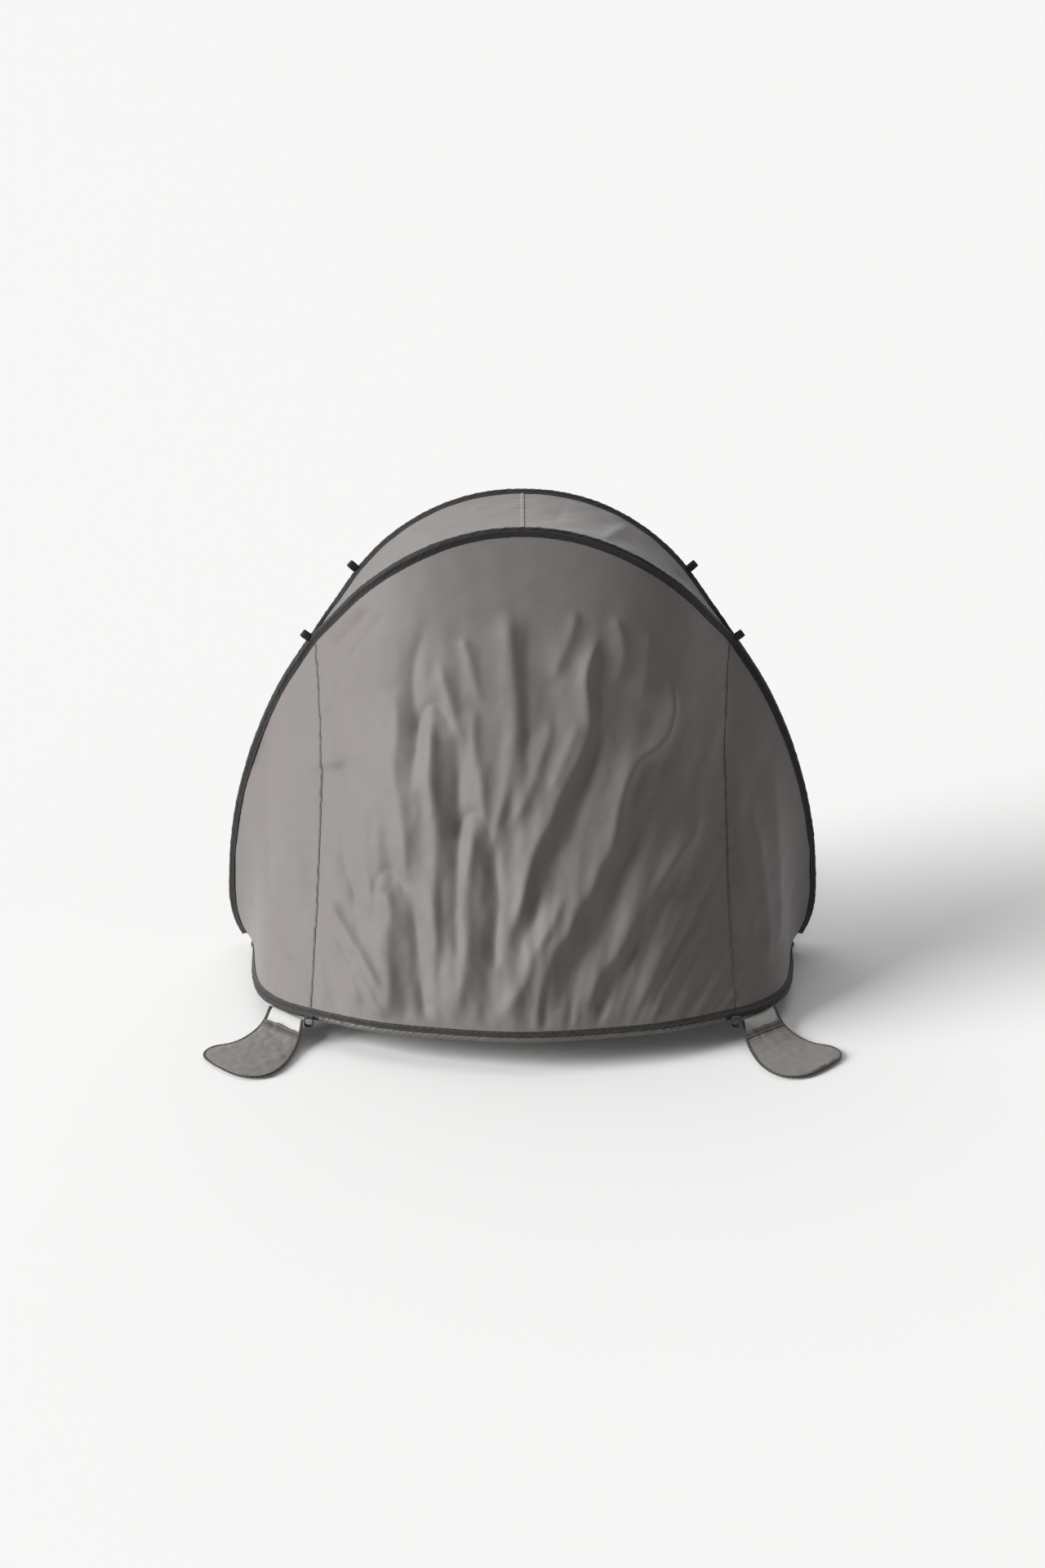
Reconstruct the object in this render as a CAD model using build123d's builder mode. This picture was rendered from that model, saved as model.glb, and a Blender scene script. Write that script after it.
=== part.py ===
"""Pop-up shelter: two sprung hoops, a roof, a closed back, a floor and two sand pockets.

Millimetres, +Z up. The closed back faces -Y, the open front faces +Y, the floor rests on Z = 0.
Every spread-out piece of cloth is a thin closed solid between the sleeves that hold it.
"""
import os
from math import pi, sin, sqrt

from build123d import *

# Overall sizes, to the middle of the hoop wires
HALF_WIDTH = 592.0
HEIGHT = 918.0
FLOOR_HALF_WIDTH = 545.0
FLOOR_HALF_DEPTH = 581.0
ARCH_SPREAD = 143.0

# How the hoops stand
AXIS_HEIGHT = 14.0
FLOOR_START = 8.0
FLOOR_RISE = 53.0
LEG_OFFSET = 7.9

# Hoop cross-sections
WIRE_RADIUS = 2.0
BORE_RADIUS = 4.2
SLEEVE_RADIUS = 7.5
FERRULE_RADIUS = 3.8
FERRULE_BORE = 2.5
FERRULE_LENGTH = 30.0
WIRE_SETBACK = 0.004

# Cloth
CLOTH = 1.6
SEWING_GAP = 0.4
BACK_SAG = 16.0
ROOF_SAG = 8.0
CLOTH_DIP = 3.0
FLOOR_CLEARANCE = 0.2
FLAT_HALF = 260.0
PANEL_ROWS = 7
WIDE_COLUMNS = 17
NARROW_COLUMNS = 9

# Where panels start and stop along a hoop, as shares of its length
CROSSING_SHARE = 0.2811
SEAM_ON_FLOOR = 0.2612
SEAM_GAP = 0.0006
TIP_ON_LEG = 0.024
TIP_ON_FLOOR = 0.035
ROOF_SIDE = 0.300

# Side tips
TIP_INNER = 7.8
TIP_OUTER = 12.6
TIP_HALF_LENGTH = 19.5
TIP_TOP = 15.0
TIP_BOTTOM = 0.0
TIP_FILLET = 3.0

# Webbing loops
LOOP_HALF_WIDTH = 9.0
LOOP_REACH = 19.5
LOOP_WEB = 2.4
LOOP_DEPTH = 10.0
LOOP_FILLET = 4.0
ARCH_LOOP_HALF = 5.5
ARCH_LOOP_DEPTH = 14.0
PEG_LOOP_X = 405.0
PEG_LOOP_Y = 469.7
PEG_LOOP_TOP = 53.0
CROSSING_LOOP = 0.278
GUY_LOOP = 0.345

# Sand pockets: mouth ends, then the outline from the inner end round to the outer end
MOUTH_INNER = (422.0, -455.0)
MOUTH_OUTER = (490.0, -392.0)
POCKET_OUTLINE = [(429, -530), (449, -592), (477, -624), (513, -627), (549, -604),
                  (582, -568), (600, -530), (590, -503), (556, -486), (520, -450)]
POCKET_DROP = [(0, 37), (12, 26), (28, 16), (50, 9.5), (80, 6), (130, 4.4), (215, 3.8)]
POCKET_TUCK = 9.0
POCKET_REACH = 170.0
POCKET_FAR = 212.0
BINDING_WIDTH = 5.0
SEAM_LINE = 0.1
HEM_START = 14.0
HEM_END = 20.0
BACK_LAYER = (-1.6, -0.4)
FRONT_LAYER = (1.4, 2.6)
HEM_LAYER = (1.0, 3.2)
BINDING_LAYER = (-2.2, 3.6)

# Hoop shapes as shares of the sizes above: (sideways, up) for an arch, (sideways, back) for the floor
ARCH_SHAPE = [(0.191, 0.984), (0.336, 0.947), (0.470, 0.890), (0.559, 0.834), (0.632, 0.775),
              (0.665, 0.749), (0.696, 0.722), (0.720, 0.701), (0.7415, 0.681), (0.780, 0.644),
              (0.8125, 0.608), (0.914, 0.460), (0.965, 0.346), (0.993, 0.232), (1.0, 0.163),
              (0.990, 0.077), (0.956, 0.028)]
CROSSING_UP = 0.722
CROSSING_EASE = 0.06
FLOOR_SHAPE = [(0.284, 0.962), (0.486, 0.909), (0.727, 0.783), (0.815, 0.723), (0.877, 0.656),
               (0.928, 0.565), (0.965, 0.418), (0.993, 0.155), (1.0, 0.036)]

REAR = -1
FRONT = 1
LEFT = -1
RIGHT = 1
UP = Vector(0, 0, 1)
HELD = SLEEVE_RADIUS + SEWING_GAP + CLOTH / 2


def arch_point(across, up, side):
    """A point on an arch: the legs stand side by side, the tops lean apart."""
    past = (up - CROSSING_UP) / (1 - CROSSING_UP)
    past = min(1.0, (past + sqrt(past * past + CROSSING_EASE * CROSSING_EASE)) / 2)
    lean = sin(past * pi / 2)
    return Vector(across * HALF_WIDTH, side * (LEG_OFFSET + lean * ARCH_SPREAD), up * HEIGHT)


def floor_point(across, back, side):
    """A point on a floor arc, which rises from the side tips towards its middle."""
    return Vector(across * FLOOR_HALF_WIDTH, side * back * FLOOR_HALF_DEPTH, FLOOR_START + back * FLOOR_RISE)


def hoop_line(shape, place, side):
    """The middle of a hoop's wire, from the right tip over the middle to the left tip."""
    right = [place(across, far, side) for across, far in reversed(shape)]
    left = [place(-across, far, side) for across, far in shape]
    return Spline(right + [place(0.0, 1.0, side)] + left)


ARCHES = {side: hoop_line(ARCH_SHAPE, arch_point, side) for side in (REAR, FRONT)}
FLOORS = {side: hoop_line(FLOOR_SHAPE, floor_point, side) for side in (REAR, FRONT)}


def tube(line, outer, inner=0.0, start=0.0):
    """A round bar, or a round tube when inner is more than nothing, along a hoop."""
    path = line.trim(start, 0.5)
    section = Plane(origin=path @ 0, z_dir=path % 0)
    with BuildPart() as bar:
        with BuildSketch(section):
            Circle(outer)
        sweep(path=path)
        if inner:
            with BuildSketch(section):
                Circle(inner)
            sweep(path=path, mode=Mode.SUBTRACT)
        mirror(about=Plane.YZ)
    return bar


def sheet(rows):
    """A thin closed solid on a smooth surface through rows of points."""
    surface = Face.make_surface_from_array_of_points(rows)
    with BuildPart() as cloth:
        thicken(to_thicken=surface, amount=CLOTH / 2, both=True)
    return cloth


def shares(first, last, count):
    """Evenly spaced values from first to last."""
    return [first + (last - first) * step / (count - 1) for step in range(count)]


def stretched(start_line, start_share, end_line, end_share, sag_towards, sag):
    """Points from one sleeve's surface to another's, eased off the straight line by sag."""
    start = start_line @ start_share
    end = end_line @ end_share
    reach = (end - start).normalized()
    along_start = start_line % start_share
    along_end = end_line % end_share
    leave = (reach - along_start * reach.dot(along_start)).normalized()
    arrive = (reach - along_end * reach.dot(along_end)).normalized()
    start = start + leave * HELD
    end = end - arrive * HELD
    column = []
    for share in shares(0.0, 1.0, PANEL_ROWS):
        point = start + (end - start) * share
        column.append(point + sag_towards(point) * (sag * 4 * share * (1 - share)))
    return column


def inwards(point):
    """The level direction from a point to the shelter's middle."""
    return Vector(-point.X, -point.Y, 0).normalized()


def downwards(point):
    """Straight down, wherever the point is."""
    return UP * -1


def back_panel(arch_from, arch_to, floor_from, floor_to, columns, side=RIGHT):
    """One gore of the closed back, between the rear arch and the rear floor arc."""
    rows = []
    for arch_share, floor_share in zip(shares(arch_from, arch_to, columns), shares(floor_from, floor_to, columns)):
        column = stretched(ARCHES[REAR], arch_share, FLOORS[REAR], floor_share, inwards, BACK_SAG)
        rows.append([Vector(side * point.X, point.Y, point.Z) for point in column])
    return sheet(rows)


def roof_panel(side):
    """Half of the lens-shaped roof between the two arch tops."""
    rows = []
    for share in shares(ROOF_SIDE, 0.5 - SEAM_GAP, NARROW_COLUMNS):
        column = stretched(ARCHES[REAR], share, ARCHES[FRONT], share, downwards, ROOF_SAG)
        rows.append([Vector(side * point.X, point.Y, point.Z) for point in column])
    return sheet(rows)


def floor_sheet():
    """The groundsheet: flat on the ground in the middle, rising to the floor arcs at its edge."""
    rise = [1.0, 0.42, 0.10, 0.0, 0.0, 0.0, 0.0, 0.0, 0.10, 0.42, 1.0]
    rows = []
    for share in shares(TIP_ON_FLOOR, 1 - TIP_ON_FLOOR, WIDE_COLUMNS):
        edge = FLOORS[REAR] @ share
        along = FLOORS[REAR] % share
        inner = edge + UP.cross(along).normalized() * -HELD
        if inner.Y < edge.Y:
            inner = edge + UP.cross(along).normalized() * HELD
        low = CLOTH / 2 + FLOOR_CLEARANCE
        high = edge.Z - CLOTH_DIP
        column = []
        for place, lift in zip(shares(inner.Y, -inner.Y, len(rise)), rise):
            column.append(Vector(inner.X, place, low + (high - low) * lift))
        rows.append(column)
    surface = Face.make_surface_from_array_of_points(rows)
    with BuildPart() as cloth:
        thicken(to_thicken=surface, amount=CLOTH / 2, both=True)
        Box(2 * FLAT_HALF, 2 * FLAT_HALF, CLOTH, align=(Align.CENTER, Align.CENTER, Align.MIN))
    return cloth


def side_tips():
    """The bound ends where the two floor arcs meet under the legs, left and right."""
    inner = FLOOR_HALF_WIDTH - TIP_INNER
    outer = FLOOR_HALF_WIDTH + TIP_OUTER
    with BuildPart() as tips:
        for side in (LEFT, RIGHT):
            with Locations((side * (inner + outer) / 2, 0, (TIP_TOP + TIP_BOTTOM) / 2)):
                Box(outer - inner, 2 * TIP_HALF_LENGTH, TIP_TOP - TIP_BOTTOM)
        fillet(tips.edges().filter_by(Axis.Y), TIP_FILLET)
    return tips


def ferrules():
    """The crimped tubes that close the two hoop wires, in the middle of each floor arc."""
    with BuildPart() as tubes:
        for side in (REAR, FRONT):
            with BuildSketch(Plane(origin=FLOORS[side] @ 0.5, z_dir=(1, 0, 0))):
                Circle(FERRULE_RADIUS)
                Circle(FERRULE_BORE, mode=Mode.SUBTRACT)
            extrude(amount=FERRULE_LENGTH / 2, both=True)
    return tubes


def webbing_loop(plane, half_width, depth):
    """A folded loop of webbing: its foot is on the plane's X axis and its hole is square to the plane."""
    with BuildPart() as loop:
        with BuildSketch(plane):
            with Locations((0, LOOP_REACH / 2)):
                Rectangle(2 * half_width, LOOP_REACH)
            fillet(vertices().sort_by(Axis.Y)[-2:], LOOP_FILLET)
            with Locations((0, LOOP_REACH / 2)):
                Rectangle(2 * (half_width - LOOP_WEB), LOOP_REACH - 2 * LOOP_WEB, mode=Mode.SUBTRACT)
        extrude(amount=depth / 2, both=True)
    return loop


def arch_loop(line, share, end):
    """A loop standing straight out of an arch's sleeve, its webbing lying along the hoop."""
    middle = line @ share
    along = line % share
    out = Vector(along.Z, 0, -along.X).normalized()
    foot = middle + out * (SLEEVE_RADIUS + SEWING_GAP)
    foot = Vector(end * foot.X, foot.Y, foot.Z)
    across = Vector(end * along.X, 0, along.Z).normalized()
    return webbing_loop(Plane(origin=foot, x_dir=(0, -end, 0), z_dir=across), ARCH_LOOP_HALF, ARCH_LOOP_DEPTH)


def peg_loop(end, side):
    """A peg loop hanging down against the outside of a floor arc."""
    foot = Vector(end * PEG_LOOP_X, side * PEG_LOOP_Y, PEG_LOOP_TOP)
    return webbing_loop(Plane(origin=foot, x_dir=(1, 0, 0), z_dir=(0, 1, 0)), LOOP_HALF_WIDTH, LOOP_DEPTH)


def mouth_plane(end):
    """Upright plane at a pocket's mouth: X runs out from the mouth, Y is up."""
    inner = Vector(end * MOUTH_INNER[0], MOUTH_INNER[1], 0)
    outer = Vector(end * MOUTH_OUTER[0], MOUTH_OUTER[1], 0)
    out = (outer - inner).cross(UP).normalized() * end
    return Plane(origin=(inner + outer) / 2, x_dir=out, z_dir=out.cross(UP))


def drop_edge(start, stop, lift):
    """The pocket's falling line in the mouth plane from start to stop, raised by lift."""
    line = []
    for (near, high), (far, low) in zip(POCKET_DROP, POCKET_DROP[1:]):
        first = max(near, start)
        last = min(far, stop)
        if first < last:
            for place in (first, last):
                line.append((place, high + (low - high) * (place - near) / (far - near) + lift))
    return [line[0]] + line[1::2]


def pocket_rim(end, inset=0.0):
    """The pocket's outline on the ground, drawn in by inset, carried a little under the hoop."""
    tuck = mouth_plane(end).x_dir * -POCKET_TUCK
    inner = Vector(end * MOUTH_INNER[0], MOUTH_INNER[1], 0) + tuck
    outer = Vector(end * MOUTH_OUTER[0], MOUTH_OUTER[1], 0) + tuck
    points = [inner] + [Vector(end * x, y, 0) for x, y in POCKET_OUTLINE] + [outer]
    drawn_in = []
    for before, point, after in zip(points[:1] + points, points, points[1:] + points[-1:]):
        drawn_in.append(point + UP.cross((after - before).normalized()) * (end * inset))
    with BuildSketch() as rim:
        with BuildLine():
            Spline(drawn_in)
            Line(drawn_in[-1], drawn_in[0])
        make_face()
    return rim.sketch


def falling_strip(end, layer, start, stop):
    """A strip that falls from the mouth to the ground, between two heights over the fall line."""
    with BuildPart() as strip:
        with BuildSketch(mouth_plane(end)):
            with BuildLine():
                low = Polyline(drop_edge(start, stop, layer[0]))
                high = Polyline(drop_edge(start, stop, layer[1]))
                Line(low @ 0, high @ 0)
                Line(low @ 1, high @ 1)
            make_face()
        extrude(amount=POCKET_REACH, both=True)
    return strip.part


def pocket_cloth(end, layer, start, stop):
    """A layer of a sand pocket inside its binding."""
    with BuildPart() as cloth:
        add(falling_strip(end, layer, start, stop))
        with BuildSketch():
            add(pocket_rim(end, BINDING_WIDTH + SEAM_LINE))
        extrude(amount=POCKET_REACH, both=True, mode=Mode.INTERSECT)
    return cloth


def pocket_binding(end):
    """The tape that closes a sand pocket's edge, open at the mouth."""
    with BuildPart() as tape:
        add(falling_strip(end, BINDING_LAYER, 0.0, POCKET_FAR))
        with BuildSketch():
            add(pocket_rim(end))
            add(pocket_rim(end, BINDING_WIDTH), mode=Mode.SUBTRACT)
        extrude(amount=POCKET_REACH, both=True, mode=Mode.INTERSECT)
    return tape


os.makedirs("parts", exist_ok=True)
nodes = {
    "groundsheet": floor_sheet(),
    "rear_floor_wire": tube(FLOORS[REAR], WIRE_RADIUS, 0.0, WIRE_SETBACK),
    "front_floor_wire": tube(FLOORS[FRONT], WIRE_RADIUS, 0.0, WIRE_SETBACK),
    "wire_ferrules": ferrules(),
    "rear_floor_sleeve": tube(FLOORS[REAR], SLEEVE_RADIUS, BORE_RADIUS),
    "front_floor_sleeve": tube(FLOORS[FRONT], SLEEVE_RADIUS, BORE_RADIUS),
    "side_tip_bindings": side_tips(),
    "back_panel_centre": back_panel(CROSSING_SHARE, 1 - CROSSING_SHARE, SEAM_ON_FLOOR, 1 - SEAM_ON_FLOOR,
                                    WIDE_COLUMNS),
    "rear_arch_wire": tube(ARCHES[REAR], WIRE_RADIUS, 0.0, WIRE_SETBACK),
    "front_arch_wire": tube(ARCHES[FRONT], WIRE_RADIUS, 0.0, WIRE_SETBACK),
    "rear_arch_sleeve": tube(ARCHES[REAR], SLEEVE_RADIUS, BORE_RADIUS),
    "front_arch_sleeve": tube(ARCHES[FRONT], SLEEVE_RADIUS, BORE_RADIUS),
}
for name, end in (("left", LEFT), ("right", RIGHT)):
    nodes[f"back_panel_{name}"] = back_panel(TIP_ON_LEG, CROSSING_SHARE - SEAM_GAP, TIP_ON_FLOOR,
                                             SEAM_ON_FLOOR - SEAM_GAP, NARROW_COLUMNS, end)
    nodes[f"roof_panel_{name}"] = roof_panel(end)
    nodes[f"crossing_loop_{name}"] = arch_loop(ARCHES[REAR], CROSSING_LOOP, end)
    nodes[f"guy_loop_{name}"] = arch_loop(ARCHES[FRONT], GUY_LOOP, end)
    nodes[f"rear_peg_loop_{name}"] = peg_loop(end, REAR)
    nodes[f"front_peg_loop_{name}"] = peg_loop(end, FRONT)
    nodes[f"pocket_back_{name}"] = pocket_cloth(end, BACK_LAYER, 0.0, POCKET_FAR)
    nodes[f"pocket_front_{name}"] = pocket_cloth(end, FRONT_LAYER, HEM_END + SEWING_GAP, POCKET_FAR)
    nodes[f"pocket_hem_{name}"] = pocket_cloth(end, HEM_LAYER, HEM_START, HEM_END)
    nodes[f"pocket_binding_{name}"] = pocket_binding(end)

for label, node in nodes.items():
    node.part.label = label
    export_step(node.part, f"parts/{label}.step")
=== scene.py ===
# %% [markdown]
# # A pop-up beach shelter, seen from behind
# The shelter is two sprung steel hoops that cross each other on both sides.
# One half of each hoop stands up as an arch, the other half lies on the ground.
# Thin polyester is sewn between them: a closed back, a lens-shaped roof and a floor.
# Everything here is in metres, with the floor on z = 0 and the closed back facing -Y.

import math

import bpy
import numpy as np
from mathutils import Matrix, Vector


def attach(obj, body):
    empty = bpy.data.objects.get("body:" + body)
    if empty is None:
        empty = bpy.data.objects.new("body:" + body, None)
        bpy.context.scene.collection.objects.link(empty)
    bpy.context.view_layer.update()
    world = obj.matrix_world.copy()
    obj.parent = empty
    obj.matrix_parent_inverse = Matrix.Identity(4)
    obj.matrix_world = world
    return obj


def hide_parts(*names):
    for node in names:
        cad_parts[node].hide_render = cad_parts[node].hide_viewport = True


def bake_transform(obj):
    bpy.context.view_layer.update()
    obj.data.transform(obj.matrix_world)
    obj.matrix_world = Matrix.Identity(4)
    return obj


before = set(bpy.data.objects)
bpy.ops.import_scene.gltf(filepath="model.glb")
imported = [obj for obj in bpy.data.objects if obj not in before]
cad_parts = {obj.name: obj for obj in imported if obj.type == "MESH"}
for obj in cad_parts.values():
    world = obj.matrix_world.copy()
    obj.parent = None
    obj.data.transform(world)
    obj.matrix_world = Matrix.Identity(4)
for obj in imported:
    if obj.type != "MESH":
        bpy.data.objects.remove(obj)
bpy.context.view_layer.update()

# %% [markdown]
# ## Camera
# A long lens from five and a half metres keeps the hoops from bulging.
# The camera looks down by twenty degrees at a point a little under half way up.

# %% Camera
LOOK_AT = Vector((0.0, 0.0, 0.352))
CAMERA_DISTANCE = 5.5
CAMERA_ELEVATION = math.radians(20)

camera_data = bpy.data.cameras.new("camera")
camera_data.lens = 62.6
camera = bpy.data.objects.new("camera", camera_data)
bpy.context.scene.collection.objects.link(camera)
toward_camera = Vector((0, -math.cos(CAMERA_ELEVATION), math.sin(CAMERA_ELEVATION)))
camera.location = LOOK_AT + CAMERA_DISTANCE * toward_camera
camera.rotation_euler = (math.pi / 2 - CAMERA_ELEVATION, 0, 0)
bpy.context.scene.camera = camera
print("camera at", [round(c, 3) for c in camera.location])

# %% [markdown]
# ## Light and floor
# One very large soft key comes from the upper left, a little from behind the camera.
# It lights the left gore and the middle of the back and leaves the right gore dark.
# The world gives a weak even fill. The floor is a plain pale sheet out to the horizon.

# %% Light and floor
def soft_light(name, strength, spread, comes_from):
    """A wide even light from far away, like a big softbox."""
    data = bpy.data.lights.new(name, "SUN")
    data.energy = strength
    data.angle = math.radians(spread)
    light = bpy.data.objects.new(name, data)
    bpy.context.scene.collection.objects.link(light)
    light.rotation_euler = Vector(comes_from).to_track_quat("Z", "Y").to_euler()


soft_light("key", 4.7, 34, (-0.87, -0.25, 0.425))
soft_light("top_light_from_behind", 1.3, 75, (-0.15, 0.60, 0.79))

world = bpy.data.worlds.new("studio")
bpy.context.scene.world = world
world.use_nodes = True
world.node_tree.nodes["Background"].inputs["Color"].default_value = (1.0, 0.99, 0.98, 1)
world.node_tree.nodes["Background"].inputs["Strength"].default_value = 0.16
bpy.context.scene.view_settings.view_transform = "Standard"

bpy.ops.object.select_all(action="DESELECT")
bpy.ops.mesh.primitive_plane_add(size=160, location=(0, 0, -0.0006))
ground = bpy.context.object
ground.name = "studio_floor"
bpy.ops.object.transform_apply(location=True, rotation=True, scale=True)
paper = bpy.data.materials.new("studio_floor_paper")
paper.use_nodes = True
paper_shader = paper.node_tree.nodes["Principled BSDF"]
paper_shader.inputs["Base Color"].default_value = (0.80, 0.80, 0.795, 1)
paper_shader.inputs["Roughness"].default_value = 0.9
paper_shader.inputs["Emission Color"].default_value = (1, 1, 1, 1)
paper_shader.inputs["Emission Strength"].default_value = 0.03
ground.data.materials.append(paper)
print("floor", ground.dimensions[0], "m wide")

# %% [markdown]
# ## Sizes of the hoops
# The hoops are the skeleton that all the cloth hangs on, so their lines come first.
# Each half hoop is a smooth line through a few stations, given as shares of its size.

# %% Sizes of the hoops
HALF_WIDTH = 0.592
HEIGHT = 0.918
FLOOR_HALF_WIDTH = 0.545
FLOOR_HALF_DEPTH = 0.581
ARCH_SPREAD = 0.143
AXIS_HEIGHT = 0.014
FLOOR_START = 0.008
FLOOR_RISE = 0.053
LEG_OFFSET = 0.0079
CROSSING_UP = 0.722
CROSSING_EASE = 0.06
CROSSING_SHARE = 0.2811
SEAM_ON_FLOOR = 0.2612
TIP_ON_LEG = 0.005
TIP_ON_FLOOR = 0.010
ARCH_SHAPE = [(0.191, 0.984), (0.336, 0.947), (0.470, 0.890), (0.559, 0.834), (0.632, 0.775),
              (0.665, 0.749), (0.696, 0.722), (0.720, 0.701), (0.7415, 0.681), (0.780, 0.644),
              (0.8125, 0.608), (0.914, 0.460), (0.965, 0.346), (0.993, 0.232), (1.0, 0.163),
              (0.990, 0.077), (0.956, 0.028)]
FLOOR_SHAPE = [(0.284, 0.962), (0.486, 0.909), (0.727, 0.783), (0.815, 0.723), (0.877, 0.656),
               (0.928, 0.565), (0.965, 0.418), (0.993, 0.155), (1.0, 0.036)]
REAR, FRONT = -1, 1
LEFT, RIGHT = -1, 1
SIDES = (("left", LEFT), ("right", RIGHT))
UP = np.array((0.0, 0.0, 1.0))


def unit(vectors):
    """Vectors brought to length one."""
    return vectors / np.linalg.norm(vectors, axis=-1, keepdims=True)


class SmoothLine:
    """A smooth line through points, read by a share of its length."""

    def __init__(self, points):
        points = np.array(points, float)
        step = np.linalg.norm(np.diff(points, axis=0), axis=1)
        slope = np.diff(points, axis=0) / step[:, None]
        count = len(points)
        system = np.zeros((count, count))
        right = np.zeros_like(points)
        system[0, 0] = system[-1, -1] = 1
        right[0] = slope[0] + (slope[0] - slope[1]) * step[0] / (step[0] + step[1])
        right[-1] = slope[-1] + (slope[-1] - slope[-2]) * step[-1] / (step[-1] + step[-2])
        for i in range(1, count - 1):
            system[i, i - 1:i + 2] = step[i], 2 * (step[i - 1] + step[i]), step[i - 1]
            right[i] = 3 * (step[i] * slope[i - 1] + step[i - 1] * slope[i])
        tangent = np.linalg.solve(system, right)
        runs = []
        for i in range(count - 1):
            t = np.linspace(0, 1, 60, endpoint=i == count - 2)[:, None]
            leaving, arriving = step[i] * tangent[i], step[i] * tangent[i + 1]
            runs.append((2 * t ** 3 - 3 * t ** 2 + 1) * points[i] + (3 * t ** 2 - 2 * t ** 3) * points[i + 1]
                        + (t ** 3 - 2 * t ** 2 + t) * leaving + (t ** 3 - t ** 2) * arriving)
        self.points = np.concatenate(runs)
        gone = np.linalg.norm(np.diff(self.points, axis=0), axis=1)
        self.length = gone.sum()
        self.share = np.concatenate([[0.0], np.cumsum(gone)]) / self.length
        self.direction = unit(np.gradient(self.points, self.share, axis=0))

    def at(self, share):
        return np.stack([np.interp(share, self.share, axis) for axis in self.points.T], -1)

    def along(self, share):
        return unit(np.stack([np.interp(share, self.share, axis) for axis in self.direction.T], -1))


def arch_point(across, up, side):
    """A point on an arch: the legs stand side by side, the tops lean apart."""
    past = (up - CROSSING_UP) / (1 - CROSSING_UP)
    past = min(1.0, (past + math.hypot(past, CROSSING_EASE)) / 2)
    lean = math.sin(past * math.pi / 2)
    return across * HALF_WIDTH, side * (LEG_OFFSET + lean * ARCH_SPREAD), up * HEIGHT


def floor_point(across, back, side):
    """A point on a floor arc, which rises from the side tips towards its middle."""
    return across * FLOOR_HALF_WIDTH, side * back * FLOOR_HALF_DEPTH, FLOOR_START + back * FLOOR_RISE


def hoop_line(shape, place, side):
    """The middle of a hoop's wire, from the left tip over the middle to the right tip."""
    left = [place(-across, far, side) for across, far in reversed(shape)]
    right = [place(across, far, side) for across, far in shape]
    return SmoothLine(left + [place(0.0, 1.0, side)] + right)


ARCHES = {side: hoop_line(ARCH_SHAPE, arch_point, side) for side in (REAR, FRONT)}
FLOORS = {side: hoop_line(FLOOR_SHAPE, floor_point, side) for side in (REAR, FRONT)}
print("arch", round(ARCHES[REAR].length, 3), "m, floor arc", round(FLOORS[REAR].length, 3), "m")

# %% [markdown]
# ## Node groups
# The same effects come back on most materials, so each is built once as a group.
# `weave` crosses two bands of fine yarn, `unevenness` mottles a colour and gathers
# pale dust low down, and `stitches` draws a row of thread dashes along a strip.
# Cloth pieces carry a UV map measured in metres, so a yarn has the same size on all.

# %% Node helpers
def fill(tree, node, inputs):
    """Fills a node's sockets, named i0, i1 ... or by name; a socket given as a value is linked."""
    for name, value in inputs.items():
        numbered = name[0] == "i" and name[1:].isdigit()
        socket = node.inputs[int(name[1:]) if numbered else name.replace("_", " ")]
        if isinstance(value, bpy.types.NodeSocket):
            tree.links.new(value, socket)
        else:
            socket.default_value = value
    return node


def put(tree, kind, settings=None, **inputs):
    """A node with its settings made and its sockets filled."""
    node = tree.nodes.new("ShaderNode" + kind)
    for name, value in (settings or {}).items():
        setattr(node, name, value)
    return fill(tree, node, inputs)


def maths(tree, operation, first, second=0.0):
    return put(tree, "Math", {"operation": operation}, i0=first, i1=second).outputs[0]


def new_group(name, takes, gives):
    """An empty node group with number inputs and outputs; returns it with its two ends."""
    group = bpy.data.node_groups.new(name, "ShaderNodeTree")
    for socket, value in takes.items():
        kind = "NodeSocketVector" if isinstance(value, tuple) else "NodeSocketFloat"
        made = group.interface.new_socket(name=socket, in_out="INPUT", socket_type=kind)
        made.default_value = value
    for socket in gives:
        group.interface.new_socket(name=socket, in_out="OUTPUT", socket_type="NodeSocketFloat")
    return group, group.nodes.new("NodeGroupInput"), group.nodes.new("NodeGroupOutput")


def use_group(tree, group, **inputs):
    node = tree.nodes.new("ShaderNodeGroup")
    node.node_tree = group
    return fill(tree, node, inputs)


# %% The weave group
weave, taken, given = new_group(
    "weave", {"Place": (0.0, 0.0, 0.0), "Yarns per metre": 1600.0}, ["Height", "Shade"])
scaled = put(weave, "VectorMath", {"operation": "SCALE"},
             Vector=taken.outputs["Place"], Scale=taken.outputs["Yarns per metre"])
parts = put(weave, "SeparateXYZ", Vector=scaled.outputs[0])
warp = maths(weave, "SINE", maths(weave, "MULTIPLY", parts.outputs[0], 3.1416))
weft = maths(weave, "SINE", maths(weave, "MULTIPLY", parts.outputs[1], 3.1416))
crossing = maths(weave, "MULTIPLY", warp, weft)
slub = put(weave, "TexNoise", Vector=scaled.outputs[0], Scale=0.11, Detail=3.0).outputs["Fac"]
weave.links.new(maths(weave, "ADD", maths(weave, "MULTIPLY", crossing, 0.35), slub), given.inputs["Height"])
weave.links.new(slub, given.inputs["Shade"])

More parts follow.
